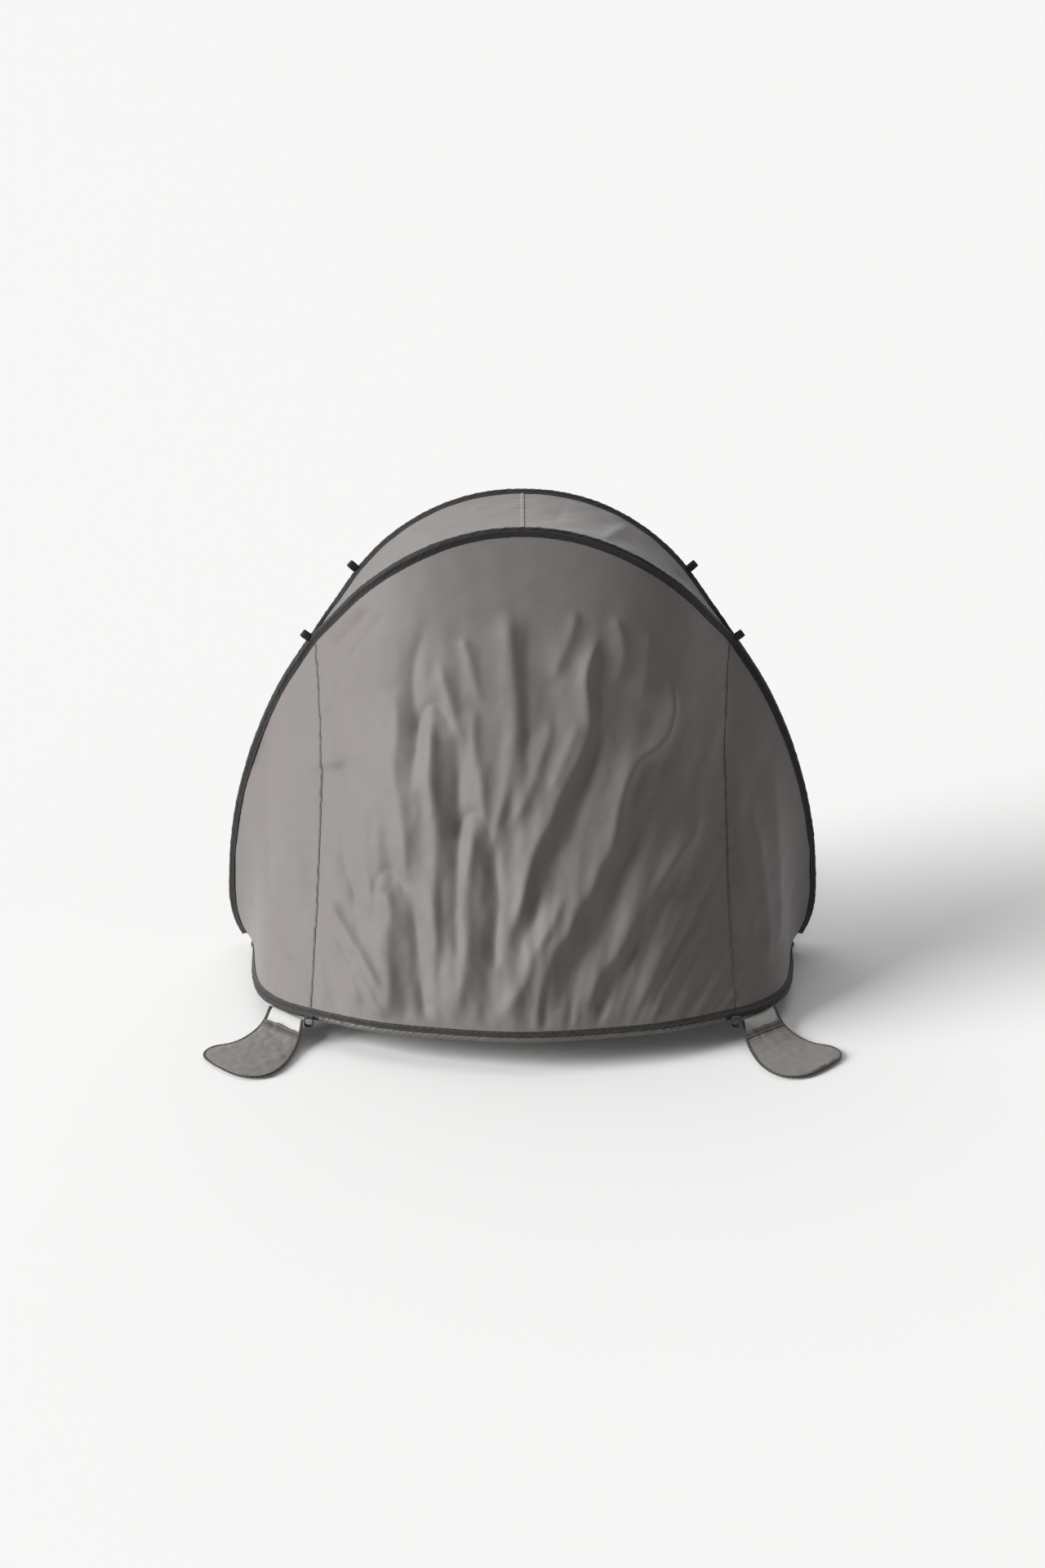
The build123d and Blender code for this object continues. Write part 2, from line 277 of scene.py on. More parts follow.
# %% The unevenness group
DUST_TOP = 0.16
unevenness, taken, given = new_group(
    "unevenness", {"Place": (0.0, 0.0, 0.0), "Mottle": 0.06, "Dust": 0.1}, ["Lightness", "Dust"])
cloud = put(unevenness, "TexNoise",
            Vector=taken.outputs["Place"], Scale=7.0, Detail=5.0, Roughness=0.62).outputs["Fac"]
speck = put(unevenness, "TexNoise", Vector=taken.outputs["Place"], Scale=90.0, Detail=3.0).outputs["Fac"]
mixed = maths(unevenness, "ADD", maths(unevenness, "MULTIPLY", cloud, 0.75),
              maths(unevenness, "MULTIPLY", speck, 0.25))
centred = maths(unevenness, "MULTIPLY", maths(unevenness, "SUBTRACT", mixed, 0.5),
                maths(unevenness, "MULTIPLY", taken.outputs["Mottle"], 4.0))
unevenness.links.new(maths(unevenness, "ADD", centred, 1.0), given.inputs["Lightness"])
heights = put(unevenness, "SeparateXYZ", Vector=taken.outputs["Place"])
low = put(unevenness, "MapRange", Value=heights.outputs[2],
          From_Min=DUST_TOP, From_Max=0.0, To_Min=0.0, To_Max=1.0).outputs[0]
dusty = maths(unevenness, "MULTIPLY", maths(unevenness, "MULTIPLY", low, speck), taken.outputs["Dust"])
unevenness.links.new(dusty, given.inputs["Dust"])

# %% The stitches group
THREAD_HALF_WIDTH = 0.00042
STITCH_SHARE = 0.72
stitches, taken, given = new_group(
    "stitches", {"Place": (0.0, 0.0, 0.0), "Line": 0.01, "Spacing": 0.0032}, ["Thread"])
parts = put(stitches, "SeparateXYZ", Vector=taken.outputs["Place"])
beside = maths(stitches, "ABSOLUTE", maths(stitches, "SUBTRACT", parts.outputs[1], taken.outputs["Line"]))
on_line = maths(stitches, "LESS_THAN", beside, THREAD_HALF_WIDTH)
beat = maths(stitches, "FRACT", maths(stitches, "DIVIDE", parts.outputs[0], taken.outputs["Spacing"]))
dash = maths(stitches, "LESS_THAN", beat, STITCH_SHARE)
stitches.links.new(maths(stitches, "MULTIPLY", on_line, dash), given.inputs["Thread"])
print("groups:", [g.name for g in bpy.data.node_groups])

# %% [markdown]
# ## Materials
# Thin coated polyester is the main one: mid grey, matt, with a faint sheen at a glance.
# The tape is almost black and ribbed, the webbing is black with coarse ribs, the pocket
# lining is a white coating, and the floor is a heavier, duller cloth.

# %% Materials
def tinted(tree, colour, lightness):
    """A colour made lighter or darker by a number that changes over the surface."""
    return put(tree, "VectorMath", {"operation": "SCALE"}, i0=colour, Scale=lightness).outputs[0]


PALE_DUST = (0.45, 0.41, 0.35, 1)
YARN_HEIGHT = 0.00012
THREAD_HEIGHT = 0.0003


def cloth_material(name, colour, roughness, yarns, bump, sheen,
                   mottle=0.06, dust=0.10, lines=(), thread=(0.3, 0.29, 0.28)):
    """Woven cloth: yarn relief, uneven colour, dust low down and rows of stitches on strips."""
    material = bpy.data.materials.new(name)
    material.use_nodes = True
    tree = material.node_tree
    shader = tree.nodes["Principled BSDF"]
    flat = put(tree, "UVMap", {"uv_map": "UVMap"}).outputs[0]
    room = put(tree, "TexCoord").outputs["Object"]
    yarn = use_group(tree, weave, Place=flat, Yarns_per_metre=yarns)
    uneven = use_group(tree, unevenness, Place=room, Mottle=mottle, Dust=dust)
    shade = maths(tree, "MULTIPLY", uneven.outputs["Lightness"],
                  maths(tree, "ADD", maths(tree, "MULTIPLY", yarn.outputs["Shade"], 0.16), 0.92))
    base = tinted(tree, colour, shade)
    dusted = put(tree, "Mix", {"data_type": "RGBA"},
                 Factor=uneven.outputs["Dust"], i6=base, i7=PALE_DUST).outputs[2]
    height = maths(tree, "MULTIPLY", yarn.outputs["Height"], YARN_HEIGHT)
    for line in lines:
        row = use_group(tree, stitches, Place=flat, Line=line).outputs["Thread"]
        dusted = put(tree, "Mix", {"data_type": "RGBA"}, Factor=row, i6=dusted, i7=(*thread, 1)).outputs[2]
        height = maths(tree, "ADD", height, maths(tree, "MULTIPLY", row, THREAD_HEIGHT))
    relief = put(tree, "Bump", Strength=bump, Distance=1.0, Height=height)
    tree.links.new(dusted, shader.inputs["Base Color"])
    tree.links.new(relief.outputs[0], shader.inputs["Normal"])
    rough = maths(tree, "ADD", maths(tree, "MULTIPLY", yarn.outputs["Shade"], 0.12), roughness - 0.06)
    tree.links.new(rough, shader.inputs["Roughness"])
    shader.inputs["Specular IOR Level"].default_value = 0.32
    shader.inputs["Sheen Weight"].default_value = sheen
    shader.inputs["Sheen Roughness"].default_value = 0.45
    return material


def metal_material(name, colour, roughness):
    """Drawn or turned metal with fine uneven polish."""
    material = bpy.data.materials.new(name)
    material.use_nodes = True
    tree = material.node_tree
    shader = tree.nodes["Principled BSDF"]
    room = put(tree, "TexCoord").outputs["Object"]
    grain = put(tree, "TexNoise", Vector=room, Scale=900.0, Detail=4.0).outputs["Fac"]
    stain = put(tree, "TexNoise", Vector=room, Scale=35.0, Detail=5.0).outputs["Fac"]
    shade = maths(tree, "ADD", maths(tree, "MULTIPLY", stain, 0.5), 0.75)
    tree.links.new(tinted(tree, colour, shade), shader.inputs["Base Color"])
    rough = maths(tree, "ADD", maths(tree, "MULTIPLY", grain, 0.25), roughness)
    tree.links.new(rough, shader.inputs["Roughness"])
    shader.inputs["Metallic"].default_value = 1.0
    relief = put(tree, "Bump", Strength=0.2, Distance=0.0002, Height=grain)
    tree.links.new(relief.outputs[0], shader.inputs["Normal"])
    return material


SHELTER_GREY = (0.160, 0.1465, 0.142)
shelter_cloth = cloth_material("shelter_polyester", SHELTER_GREY, 0.60, 1500.0, 0.55, 0.22)
# The back seams' tape is painted darker than the gores and sewn with near-black thread: painted shade along the
# felled seams.
seam_cloth_painted_shade = cloth_material("shelter_seam_tape_painted_shade", (0.120, 0.110, 0.106), 0.66, 1500.0, 0.7, 0.15,
                            lines=(0.0012, 0.0048), thread=(0.045, 0.042, 0.040))
# The roof seam's tape is a touch lighter than the cloth and its thread is pale: painted highlight on the raised seam.
roof_seam_cloth_painted_highlight = cloth_material("roof_seam_tape_painted_highlight", (0.165, 0.150, 0.145), 0.62, 1500.0, 0.7, 0.2,
                                 lines=(0.0018, 0.0062), thread=(0.55, 0.54, 0.52))
edge_tape = cloth_material("edge_binding_tape", (0.0125, 0.0118, 0.0115), 0.66, 900.0, 0.9, 0.14,
                           lines=(0.0035, 0.0390), thread=(0.075, 0.07, 0.068))
pocket_tape = cloth_material("pocket_binding_tape", (0.014, 0.013, 0.0125), 0.68, 900.0, 0.9, 0.15,
                             lines=(0.0012, 0.0044), thread=(0.16, 0.155, 0.15))
hem_cloth = cloth_material("pocket_hem_cloth", (0.050, 0.046, 0.044), 0.66, 1300.0, 0.8, 0.2,
                           lines=(0.0012, 0.0052), thread=(0.19, 0.185, 0.18))
webbing_cloth = cloth_material("black_webbing", (0.010, 0.010, 0.010), 0.66, 650.0, 1.0, 0.15)
lining_cloth = cloth_material("white_coated_lining", (0.50, 0.50, 0.49), 0.42, 1300.0, 0.35, 0.05,
                              mottle=0.03, dust=0.25)
floor_cloth = cloth_material("coated_floor_cloth", (0.105, 0.098, 0.094), 0.50, 1100.0, 0.6, 0.10)
spring_steel = metal_material("galvanised_spring_steel", (0.56, 0.57, 0.58), 0.28)
ferrule_metal = metal_material("crimped_ferrule_alloy", (0.70, 0.69, 0.66), 0.33)
for node in ("rear_floor_wire", "front_floor_wire", "rear_arch_wire", "front_arch_wire"):
    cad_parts[node].data.materials.clear()
    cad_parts[node].data.materials.append(spring_steel)
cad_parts["wire_ferrules"].data.materials.clear()
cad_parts["wire_ferrules"].data.materials.append(ferrule_metal)
print("materials:", len(bpy.data.materials))

# %% [markdown]
# ## A grid wrapped onto a form
# Sewn cloth is a flat net of threads pulled over a form. In Blender that is a grid whose
# corners are each moved to their place. A closed sleeve is the same grid rolled up, with
# its two edges merged. Solidify then gives the cloth its two faces and its cut edge.

# %% Wrapping helpers
def wrap(name, columns, rows, place, flat, material, merge=False):
    """A grid with corner (u, v), each from 0 to 1, moved to place(u, v); flat is its size in metres."""
    bpy.ops.object.select_all(action="DESELECT")
    bpy.ops.mesh.primitive_grid_add(x_subdivisions=columns, y_subdivisions=rows, size=2)
    piece = bpy.context.object
    piece.name = piece.data.name = name
    corners = np.empty(len(piece.data.vertices) * 3)
    piece.data.vertices.foreach_get("co", corners)
    u, v = (corners[0::3] + 1) / 2, (corners[1::3] + 1) / 2
    piece.data.vertices.foreach_set("co", place(u, v).ravel())
    spread = np.empty(len(piece.data.uv_layers[0].data) * 2, np.float32)
    piece.data.uv_layers[0].data.foreach_get("uv", spread)
    piece.data.uv_layers[0].data.foreach_set("uv", (spread.reshape(-1, 2) * flat).astype(np.float32).ravel())
    piece.data.update()
    if merge:
        bpy.ops.object.mode_set(mode="EDIT")
        bpy.ops.mesh.select_all(action="SELECT")
        bpy.ops.mesh.remove_doubles(threshold=0.00002)
        bpy.ops.mesh.normals_make_consistent(inside=False)
        bpy.ops.object.mode_set(mode="OBJECT")
    bpy.ops.object.shade_smooth()
    piece.data.materials.append(material)
    return piece, u, v


def thicken(piece, thickness):
    """Gives a sheet its thickness, half to each side, and keeps its cut edges crisp."""
    bpy.ops.object.select_all(action="DESELECT")
    bpy.context.view_layer.objects.active = piece
    piece.select_set(True)
    bpy.ops.object.modifier_add(type="SOLIDIFY")
    piece.modifiers[-1].thickness = thickness
    piece.modifiers[-1].offset = 0.0
    bpy.ops.object.modifier_apply(modifier=piece.modifiers[-1].name)


def ease(value, start, stop):
    """A smooth step from 0 at start to 1 at stop."""
    t = np.clip((value - start) / (stop - start), 0, 1)
    return t * t * (3 - 2 * t)


def ripple(place, seed, waves, finest, coarsest):
    """Gentle uneven ripples: waves of seeded sizes, directions and phases added up, about -1 to 1."""
    draw = np.random.default_rng(seed)
    total = np.zeros(len(place))
    for _ in range(waves):
        heading = draw.normal(size=place.shape[1])
        heading /= np.linalg.norm(heading)
        size = math.exp(draw.uniform(math.log(finest), math.log(coarsest)))
        total += size / coarsest * np.sin(place @ heading * 2 * math.pi / size + draw.uniform(0, 2 * math.pi))
    return total / math.sqrt(waves)


# %% [markdown]
# ## The closed back
# The back is three gores sewn into one sheet. Its top edge is held by the rear arch and
# its bottom edge by the rear floor arc. The upper part is pulled smooth, and the slack
# in the lower half falls into long folds that lean towards the middle of the floor.
# Each fold is a line down the cloth with its own width and height, steeper on one side.

# %% Where the back runs
GORE_COLUMNS = 0.235
EDGE_IN_TAPE = 0.0050
BACK_SAG = 0.016
SHORT_COLUMN = 0.30
BACK_COLUMNS, BACK_ROWS = 310, 142


def hoop_shares(u):
    """The shares along the arch and along the floor arc that a column of the back joins."""
    stops = (0.0, GORE_COLUMNS, 1 - GORE_COLUMNS, 1.0)
    on_arch = np.interp(u, stops, (TIP_ON_LEG, CROSSING_SHARE, 1 - CROSSING_SHARE, 1 - TIP_ON_LEG))
    on_floor = np.interp(u, stops, (TIP_ON_FLOOR, SEAM_ON_FLOOR, 1 - SEAM_ON_FLOOR, 1 - TIP_ON_FLOOR))
    return on_arch, on_floor


def square_to(direction, line):
    """The part of a direction that is square to a line, at length one."""
    return unit(direction - line * np.sum(direction * line, -1, keepdims=True))


def taut_back(u, v):
    """A point of the back pulled smooth, the outward direction there, and its height up the slope."""
    on_arch, on_floor = hoop_shares(u)
    top, bottom = ARCHES[REAR].at(on_arch), FLOORS[REAR].at(on_floor)
    reach = unit(top - bottom)
    along_top, along_bottom = ARCHES[REAR].along(on_arch), FLOORS[REAR].along(on_floor)
    bottom = bottom + square_to(reach, along_bottom) * EDGE_IN_TAPE
    top = top - square_to(reach, along_top) * EDGE_IN_TAPE
    point = bottom + (top - bottom) * v[:, None]
    inward = unit(point * (-1.0, -1.0, 0.0) + (0, 1e-9, 0))
    sag = BACK_SAG * np.minimum(1, np.linalg.norm(top - bottom, axis=1) / SHORT_COLUMN)
    point = point + inward * (sag * 4 * v * (1 - v))[:, None]
    outward = unit(np.cross(along_top * v[:, None] + along_bottom * (1 - v)[:, None], reach))
    up_slope = 0.94 * point[:, 2] + 0.342 * point[:, 1] + 0.141
    return point, outward, up_slope


# %% The folds of the back
# Each fold: its line as (across, up the slope), its half width at the top, middle and bottom,
# its height (a hollow is negative), how much steeper its right flank is, and the share of
# its line over which it rises. Fingers rise at once and end in a point.
BACK_FOLDS = [
    ([(-0.168, 0.590), (-0.165, 0.43), (-0.158, 0.28), (-0.163, 0.13)],
     (0.014, 0.025, 0.008), 0.0125, 0.5, 0.08),
    ([(-0.090, 0.388), (-0.098, 0.28), (-0.105, 0.16), (-0.120, 0.02)],
     (0.012, 0.022, 0.017), 0.0115, 0.5, 0.09),
    ([(-0.250, 0.287), (-0.246, 0.20), (-0.245, 0.10), (-0.252, 0.03)],
     (0.012, 0.020, 0.013), 0.0105, 0.5, 0.11),
    ([(-0.128, 0.560), (-0.120, 0.36), (-0.124, 0.14)], (0.009, 0.014, 0.010), -0.0075, 0.2, 0.25),
    ([(-0.050, 0.370), (-0.050, 0.24), (-0.060, 0.12)], (0.009, 0.014, 0.010), -0.0080, 0.2, 0.25),
    ([(-0.208, 0.260), (-0.197, 0.14), (-0.186, 0.02)], (0.009, 0.014, 0.011), -0.0080, 0.2, 0.25),
    ([(-0.202, 0.560), (-0.190, 0.602), (-0.166, 0.620), (-0.143, 0.600), (-0.133, 0.560)],
     (0.007, 0.008, 0.007), -0.0034, 0.0, 0.2),
    ([(-0.122, 0.358), (-0.112, 0.398), (-0.090, 0.414), (-0.069, 0.396), (-0.061, 0.358)],
     (0.006, 0.008, 0.006), -0.0034, 0.0, 0.2),
    ([(-0.282, 0.262), (-0.272, 0.298), (-0.250, 0.312), (-0.229, 0.295), (-0.221, 0.262)],
     (0.006, 0.007, 0.006), -0.0030, 0.0, 0.2),
    ([(-0.252, 0.660), (-0.238, 0.55), (-0.228, 0.42), (-0.212, 0.285)],
     (0.014, 0.024, 0.007), 0.0085, 0.4, 0.30),
    ([(-0.182, 0.785), (-0.210, 0.69), (-0.204, 0.58), (-0.200, 0.45)],
     (0.010, 0.015, 0.010), -0.0064, 0.0, 0.25),
    ([(-0.030, 0.802), (-0.018, 0.69), (-0.016, 0.56), (-0.034, 0.45), (-0.053, 0.345)],
     (0.014, 0.022, 0.007), 0.0090, 0.4, 0.12),
    ([(0.006, 0.780), (0.008, 0.64), (0.004, 0.50)], (0.008, 0.012, 0.008), -0.0036, 0.1, 0.3),
    ([(-0.084, 0.630), (-0.088, 0.52), (-0.072, 0.42), (-0.062, 0.36)],
     (0.008, 0.014, 0.007), 0.0060, 0.4, 0.2),
    ([(0.140, 0.760), (0.122, 0.66), (0.124, 0.585), (0.084, 0.475), (0.042, 0.385), (-0.006, 0.25), (-0.030, 0.160)],
     (0.010, 0.020, 0.008), 0.0125, 0.5, 0.10),
    ([(0.174, 0.620), (0.130, 0.505), (0.090, 0.39), (0.050, 0.31), (0.004, 0.18), (-0.020, 0.10)],
     (0.010, 0.018, 0.012), -0.0060, 0.1, 0.3),
    ([(0.276, 0.680), (0.264, 0.565), (0.214, 0.51), (0.172, 0.41), (0.138, 0.30), (0.085, 0.20), (0.016, 0.022)],
     (0.010, 0.022, 0.016), 0.0125, 0.5, 0.10),
    ([(0.272, 0.480), (0.210, 0.360), (0.168, 0.24), (0.080, 0.09), (0.040, 0.02)],
     (0.010, 0.018, 0.014), -0.0062, 0.1, 0.3),
    ([(0.352, 0.440), (0.286, 0.33), (0.200, 0.20), (0.104, 0.04)], (0.010, 0.022, 0.014), 0.0095, 0.5, 0.22),
    ([(0.075, 0.270), (0.030, 0.16), (-0.040, 0.02)], (0.008, 0.015, 0.012), 0.0070, 0.4, 0.2),
    ([(0.322, 0.270), (0.270, 0.17), (0.214, 0.05)], (0.010, 0.017, 0.012), 0.0060, 0.4, 0.25),
    ([(0.236, 0.200), (0.184, 0.12), (0.134, 0.03)], (0.009, 0.015, 0.012), -0.0060, 0.1, 0.3),
    ([(-0.160, 0.700), (-0.132, 0.62), (-0.104, 0.54)], (0.006, 0.012, 0.007), 0.0045, 0.3, 0.2),
    ([(-0.116, 0.755), (-0.094, 0.68), (-0.074, 0.62)], (0.006, 0.012, 0.007), 0.0045, 0.2, 0.15),
    ([(0.054, 0.610), (0.030, 0.50), (-0.020, 0.39)], (0.008, 0.014, 0.008), 0.0060, 0.3, 0.25),
    ([(0.104, 0.600), (0.090, 0.55), (0.050, 0.45)], (0.007, 0.011, 0.007), 0.0040, 0.3, 0.25),
    ([(0.170, 0.790), (0.192, 0.74), (0.174, 0.66)], (0.008, 0.012, 0.008), 0.0040, 0.3, 0.15),
    ([(0.102, 0.800), (0.085, 0.745), (0.060, 0.67)], (0.006, 0.012, 0.008), 0.0042, 0.3, 0.12),
    ([(0.242, 0.775), (0.238, 0.70), (0.222, 0.62)], (0.008, 0.013, 0.008), 0.0036, 0.2, 0.2),
    ([(-0.364, 0.520), (-0.350, 0.41), (-0.336, 0.31), (-0.318, 0.22)],
     (0.022, 0.014, 0.006), -0.0085, 0.0, 0.06),
    ([(-0.304, 0.460), (-0.294, 0.33), (-0.292, 0.20)], (0.010, 0.018, 0.010), 0.0060, 0.3, 0.3),
    ([(-0.368, 0.255), (-0.312, 0.165), (-0.258, 0.075)], (0.007, 0.011, 0.007), 0.0072, 0.5, 0.15),
    ([(-0.316, 0.135), (-0.285, 0.08), (-0.254, 0.025)], (0.006, 0.009, 0.006), 0.0055, 0.5, 0.15),
    ([(-0.364, 0.190), (-0.330, 0.12), (-0.300, 0.06)], (0.007, 0.009, 0.006), 0.0045, 0.5, 0.2),
    ([(-0.345, 0.700), (-0.370, 0.66), (-0.388, 0.61)], (0.005, 0.007, 0.005), 0.0026, 0.0, 0.2),
    ([(-0.292, 0.806), (-0.338, 0.768), (-0.386, 0.733)], (0.006, 0.010, 0.008), -0.0052, 0.0, 0.3),
    ([(-0.262, 0.800), (-0.310, 0.748), (-0.352, 0.700)], (0.006, 0.010, 0.008), -0.0034, 0.0, 0.3),
    ([(-0.505, 0.620), (-0.512, 0.43), (-0.500, 0.25)], (0.014, 0.018, 0.014), -0.0060, 0.0, 0.3),
    ([(-0.452, 0.620), (-0.448, 0.42), (-0.430, 0.20)], (0.016, 0.020, 0.014), 0.0042, 0.0, 0.3),
    ([(-0.470, 0.180), (-0.452, 0.15), (-0.432, 0.13)], (0.005, 0.007, 0.005), -0.0024, 0.0, 0.3),
    ([(0.405, 0.560), (0.418, 0.38), (0.440, 0.10)], (0.014, 0.019, 0.014), 0.0060, 0.2, 0.3),
    ([(0.448, 0.450), (0.462, 0.30), (0.474, 0.10)], (0.012, 0.016, 0.010), 0.0055, 0.2, 0.3),
    ([(0.498, 0.500), (0.502, 0.32), (0.490, 0.13)], (0.012, 0.016, 0.010), 0.0055, 0.2, 0.3),
]
FOLD_WIDTH = 1.25


def fold_height(across, up_slope, line, widths, height, lean, rise):
    """How far one fold lifts each point of the cloth."""
    line = SmoothLine(line)
    nearest = np.full(len(across), 1e9)
    share = np.zeros(len(across))
    side = np.zeros(len(across))
    stations = np.linspace(0, 1, 33)
    path = line.at(stations)
    for i in range(len(path) - 1):
        step = path[i + 1] - path[i]
        along = (across - path[i, 0]) * step[0] + (up_slope - path[i, 1]) * step[1]
        t = np.clip(along / (step @ step), 0, 1)
        beside_x = across - path[i, 0] - t * step[0]
        beside_y = up_slope - path[i, 1] - t * step[1]
        gap = np.hypot(beside_x, beside_y)
        closer = gap < nearest
        nearest = np.where(closer, gap, nearest)
        share = np.where(closer, stations[i] + t * (stations[i + 1] - stations[i]), share)
        side = np.where(closer, np.sign(beside_x * -step[1] + beside_y * step[0]) * -1.0, side)
    width = np.interp(share, (0.0, 0.5, 1.0), widths)
    width = FOLD_WIDTH * width * np.where(side < 0, 1 - 0.55 * lean, 1 + 0.65 * lean)
    along = ease(share, -0.02, rise) * (1 - ease(share, 0.80, 1.02))
    crest = np.exp(0.35 - np.sqrt((nearest / width) ** 2 + 0.35 ** 2))
    return height * along * crest


# %% The back's surface
SEAM_PUCKER = 0.0011
PUCKER_LENGTH = 0.023
FOLD_DEPTH = 1.35


def loose_back(u, v):
    """The back with its folds, crumples and seam puckers, for any grid of columns and rows."""
    point, outward, up_slope = taut_back(u, v)
    across = point[:, 0]
    lift = np.zeros(len(u))
    place = np.stack([across, up_slope], -1)
    wander_x = across + 0.005 * ripple(place, 5, 7, 0.08, 0.25)
    wander_y = up_slope + 0.008 * ripple(place, 6, 7, 0.08, 0.25)
    for fold in BACK_FOLDS:
        lift += FOLD_DEPTH * fold_height(wander_x, wander_y, *fold)
    middle = 1 - ease(np.abs(across), 0.30, 0.42)
    loose = ease(up_slope, 0.86, 0.55) * (0.35 + 0.65 * middle)
    flow = np.where(across > 0, across * 0.95 / (up_slope + 0.45), across / (0.2 * up_slope + 0.85))
    streaks = np.stack([flow + 0.004 * ripple(place, 10, 6, 0.06, 0.2), 0.16 * up_slope], -1)
    lift += 0.0026 * loose * ripple(streaks, 11, 14, 0.030, 0.085)
    lift += 0.0004 * loose * ripple(streaks * (1.0, 2.6), 12, 12, 0.014, 0.030)
    lift += 0.0005 * ripple(place, 13, 10, 0.03, 0.09)
    for seam in (GORE_COLUMNS, 1 - GORE_COLUMNS):
        beside = np.abs(u - seam) * 2.2
        pucker = 0.6 * np.sin(up_slope * 2 * math.pi / PUCKER_LENGTH + 3 * np.sin(up_slope * 31))
        pucker = pucker + ripple(place, 14, 6, 0.015, 0.03)
        lift += SEAM_PUCKER * np.exp(-beside / 0.016) * pucker
    held = ease(v, 0.0, 0.035) * (1 - ease(v, 0.955, 1.0)) * ease(np.minimum(u, 1 - u), 0.0, 0.03)
    return point + outward * (lift * held)[:, None], outward


BACK_FLAT = (1.98, 0.98)
back_cloth, back_u, _ = wrap("back_cloth", BACK_COLUMNS, BACK_ROWS,
                             lambda u, v: loose_back(u, v)[0], BACK_FLAT, shelter_cloth)
print("back cloth:", len(back_cloth.data.vertices), "corners")


def follow_fold(piece, u):
    """Bakes a piece's transform and works out the angles of the floor arc and the arch about the fold's axis for its
    columns; they are not used further.
    """
    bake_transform(piece)
    where = np.empty(len(piece.data.vertices) * 3)
    piece.data.vertices.foreach_get("co", where)
    where = where.reshape(-1, 3)
    on_arch, on_floor = hoop_shares(u)

    def angle(point):
        return np.arctan2(point[:, 2] - AXIS_HEIGHT, -point[:, 1])

    low, high = angle(FLOORS[REAR].at(on_floor)), angle(ARCHES[REAR].at(on_arch))


thicken(back_cloth, 0.0009)
follow_fold(back_cloth, np.tile(back_u, 2))
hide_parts("back_panel_left", "back_panel_centre", "back_panel_right")
print("back cloth thickened:", len(back_cloth.data.vertices), "corners")

# %% [markdown]
# ## The back's two seams
# Where a gore joins the middle, both edges are folded into each other and sewn down twice.
# The felled seam stands a little proud of the cloth, so it is a narrow strip of its own,
# laid on the same surface as the cloth under it.

# %% Seams of the back
SEAM_WIDTH = 0.006


def back_seam(name, at):
    def place(u, v):
        on_cloth = at + (v - 0.5) * SEAM_WIDTH / 2.15
        point, outward = loose_back(on_cloth, 0.012 + 0.976 * u)
        crown = 0.0006 + 0.0007 * np.sin(np.pi * np.clip(v, 0, 1))
        return point + outward * crown[:, None]

    # The strip wears the seam tape with painted shade along the seam.
    seam, u, v = wrap(name, 300, 6, place, (0.9, SEAM_WIDTH), seam_cloth_painted_shade)
    thicken(seam, 0.0007)
    follow_fold(seam, np.tile(at + (v - 0.5) * SEAM_WIDTH / 2.15, 2))
    return seam


back_seams = [back_seam("back_seam_left", GORE_COLUMNS), back_seam("back_seam_right", 1 - GORE_COLUMNS)]
print("seams:", [s.name for s in back_seams])

# %% [markdown]
# ## The roof
# Between the two arch tops the cloth is a lens, pointed at both crossings, with one
# double-sewn seam over the middle. It is pulled tight along the arches, so it only dips
# a little, and short creases run in from its edges.

# %% Roof
ROOF_START = 0.283
ROOF_SAG = 0.008
ROOF_FOLDS = [
    ([(-0.150, 0.10), (-0.195, 0.55), (-0.235, 0.95)], (0.008, 0.012, 0.010), 0.0050, 0.4, 0.3),
    ([(0.150, 0.08), (0.178, 0.50), (0.212, 0.92)], (0.008, 0.012, 0.010), 0.0045, 0.4, 0.3),
    ([(-0.300, 0.10), (-0.314, 0.36), (-0.325, 0.60)], (0.006, 0.009, 0.006), -0.0030, 0.0, 0.3),
    ([(0.285, 0.15), (0.300, 0.45), (0.312, 0.75)], (0.006, 0.009, 0.006), -0.0030, 0.0, 0.3),
    ([(0.060, 0.30), (0.074, 0.60), (0.086, 0.90)], (0.008, 0.014, 0.010), -0.0022, 0.0, 0.3),
    ([(-0.070, 0.25), (-0.083, 0.55), (-0.092, 0.85)], (0.008, 0.014, 0.010), 0.0024, 0.0, 0.3),
]


def roof_surface(u, v):
    """The roof from the rear arch to the front arch, with its sag and creases."""
    share = ROOF_START + (1 - 2 * ROOF_START) * u
    rear, front = ARCHES[REAR].at(share), ARCHES[FRONT].at(share)
    reach = unit(front - rear)
    rear = rear + square_to(reach, ARCHES[REAR].along(share)) * EDGE_IN_TAPE
    front = front - square_to(reach, ARCHES[FRONT].along(share)) * EDGE_IN_TAPE
    point = rear + (front - rear) * v[:, None]
    outward = unit(np.cross(ARCHES[REAR].along(share), reach))
    wide = np.linalg.norm(front - rear, axis=1)
    bow = 4 * v * (1 - v)
    point = point - UP * (ROOF_SAG * bow * np.minimum(1, wide / 0.15))[:, None]
    lift = np.zeros(len(u))
    for fold in ROOF_FOLDS:
        lift += fold_height(point[:, 0], v * 0.28, [(x, 0.28 * y) for x, y in fold[0]], *fold[1:])
    place = point[:, :2]
    lift += 0.0007 * ripple(place, 31, 12, 0.03, 0.10)
    beside = np.abs(point[:, 0])
    lift += 0.0008 * np.exp(-beside / 0.014) * np.sin(v * 2 * math.pi * 11 + 2 * np.sin(v * 17))
    held = ease(v, 0, 0.06) * (1 - ease(v, 0.94, 1)) * np.minimum(1, wide / 0.10)
    return point + outward * (lift * held)[:, None], outward


ROOF_FLAT = (1.08, 0.30)
roof_cloth, _, _ = wrap("roof_cloth", 230, 72, lambda u, v: roof_surface(u, v)[0], ROOF_FLAT, shelter_cloth)
thicken(roof_cloth, 0.0009)
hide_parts("roof_panel_left", "roof_panel_right")
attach(roof_cloth, "arches")


